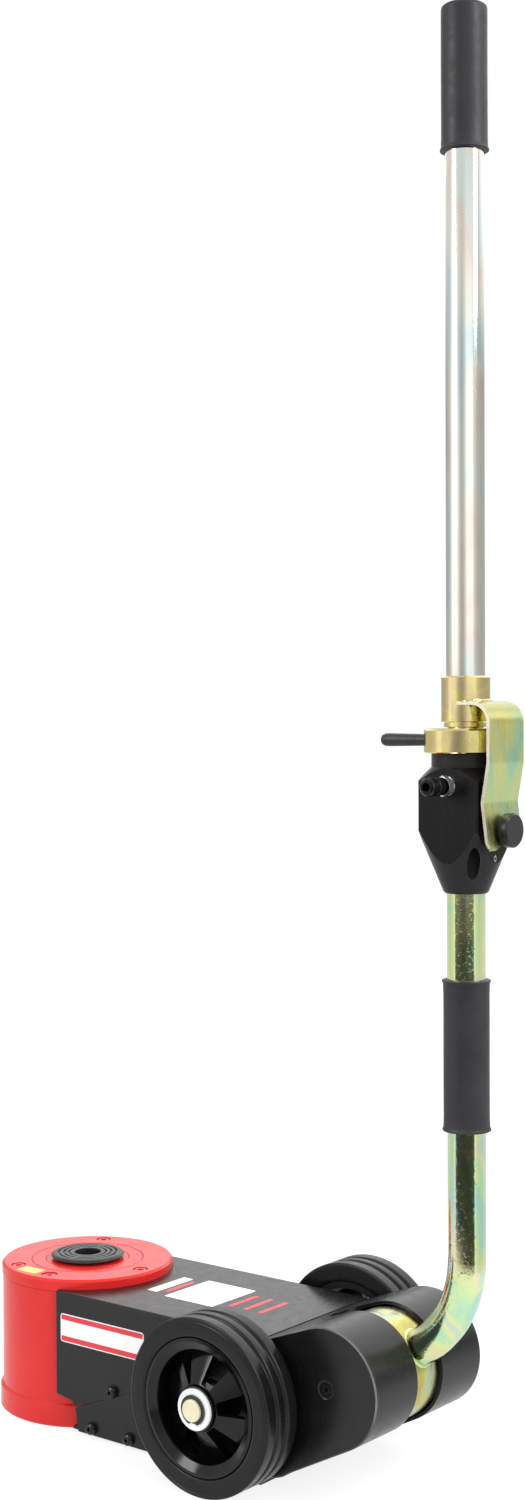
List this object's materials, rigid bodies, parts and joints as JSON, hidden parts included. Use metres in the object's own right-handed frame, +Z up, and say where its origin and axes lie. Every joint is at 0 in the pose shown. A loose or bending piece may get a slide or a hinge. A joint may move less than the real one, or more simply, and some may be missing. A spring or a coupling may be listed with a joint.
{
  "type": "air-hydraulic truck jack",
  "caption": "Low two-stage air-hydraulic truck jack: squat lifting cylinder with saddle, flat chassis on wheels, and an upright tilting handle with a control head.",
  "frame": {"origin": "floor level, on the lifting ram's axis, at the centre of the round base's underside", "axes": "+X forwards from the handle towards the lifting cylinder, +Y to the jack's left, +Z up along the lift"},
  "size_m": [0.5947, 0.2892, 1.3088],
  "materials": {
    "red_paint": "gloss",
    "black_coat": "satin powder coat",
    "raw_steel": "plain machined",
    "chrome_rod": "hard chrome",
    "black_oxide": "black oxide",
    "seal_rubber": "matte",
    "friction_lining": "matte",
    "zinc_white": "white zinc plate",
    "cast_alloy": "as cast",
    "tyre_rubber": "matte",
    "black_plastic": "moulded",
    "bronze": "sintered",
    "zinc_yellow": "yellow chromated zinc, iridescent",
    "grip_rubber": "matte",
    "black_anodised": "black anodised",
    "zinc_bright": "bright zinc plate",
    "knob_plastic": "moulded"
  },
  "bodies": {
    "chassis": {"base_flange": "red_paint", "cylinder_body": "red_paint", "pressure_tube": "raw_steel", "top_cover": "red_paint", "gland_seal": "seal_rubber", "cover_screws": "red_paint", "filler_plug": "red_paint", "chassis_cover": "black_coat", "bottom_tray": "black_coat", "frame_plate_left": "raw_steel", "frame_plate_right": "raw_steel", "side_screws": "black_coat", "rear_housing": "black_coat", "end_cover_left": "black_coat", "end_cover_right": "black_coat", "end_cover_screws": "black_coat", "drum_shaft": "raw_steel", "brake_carriers": "raw_steel", "friction_pads": "friction_lining", "axle": "zinc_white", "axle_spacers": "raw_steel", "wheel_washers": "zinc_white", "retaining_rings": "raw_steel", "pump_block": "raw_steel", "air_cylinder": "raw_steel", "air_cylinder_cap": "cast_alloy", "piston_spring": "raw_steel"},
    "outer_ram": {"ram_1": "chrome_rod", "ram_1_seal": "seal_rubber", "ram_1_head": "red_paint"},
    "inner_ram": {"ram_2": "chrome_rod", "ram_2_seal": "seal_rubber", "ram_2_head": "red_paint", "saddle": "black_oxide"},
    "pump_piston": {"air_piston": "cast_alloy", "pump_plunger": "raw_steel"},
    "wheel_left": {"tyre_left": "tyre_rubber", "rim_left": "black_plastic", "bearings_left": "bronze"},
    "wheel_right": {"tyre_right": "tyre_rubber", "rim_right": "black_plastic", "bearings_right": "bronze"},
    "handle": {"drum_hub": "zinc_yellow", "handle_tube": "zinc_yellow", "lower_grip": "grip_rubber", "control_block": "black_anodised", "vent_screen": "black_oxide", "tube_screw": "raw_steel", "spigot": "raw_steel", "coupling_body": "raw_steel", "upper_collar": "zinc_yellow", "upper_tube": "zinc_bright", "top_grip": "grip_rubber", "guard_strap": "zinc_yellow"},
    "coupling_sleeve": {"coupling_sleeve": "black_oxide"},
    "control_ring": {"control_ring": "zinc_yellow", "lever_pin": "raw_steel", "lever_grip": "black_plastic"},
    "lock_knob": {"knob": "knob_plastic", "knob_stem": "raw_steel"}
  },
  "joints": [
    {"name": "outer_ram_lift", "type": "slide", "parent": "chassis", "child": "outer_ram", "axis": [0, 0, 1], "range_m": [0, 0.075]},
    {"name": "inner_ram_lift", "type": "slide", "parent": "outer_ram", "child": "inner_ram", "axis": [0, 0, 1], "range_m": [0, 0.075]},
    {"name": "pump_stroke", "type": "slide", "parent": "chassis", "child": "pump_piston", "axis": [0, 0, -1], "range_m": [0, 0.03], "stiffness_N_per_m": 1500, "springref_m": -0.01, "deforming": ["piston_spring"]},
    {"name": "wheel_left_spin", "type": "hinge", "parent": "chassis", "child": "wheel_left", "pos_m": [-0.26, 0.114, 0.08], "axis": [0, 1, 0], "continuous": true},
    {"name": "wheel_right_spin", "type": "hinge", "parent": "chassis", "child": "wheel_right", "pos_m": [-0.26, -0.114, 0.08], "axis": [0, 1, 0], "continuous": true},
    {"name": "handle_tilt", "type": "hinge", "parent": "chassis", "child": "handle", "pos_m": [-0.3633, 0, 0.1037], "axis": [0, -1, 0], "range_deg": [-35, 75]},
    {"name": "ring_turn", "type": "hinge", "parent": "handle", "child": "control_ring", "pos_m": [-0.4565, 0, 0.671], "axis": [0, 0, 1], "range_deg": [-30, 30], "stiffness_Nm_per_rad": 0.8},
    {"name": "knob_pull", "type": "slide", "parent": "handle", "child": "lock_knob", "axis": [-1, 0, 0], "range_m": [0, 0.008], "stiffness_N_per_m": 600, "springref_m": -0.003},
    {"name": "sleeve_pull", "type": "slide", "parent": "handle", "child": "coupling_sleeve", "axis": [0, -1, 0], "range_m": [0, 0.004], "stiffness_N_per_m": 800, "springref_m": -0.002}
  ]
}
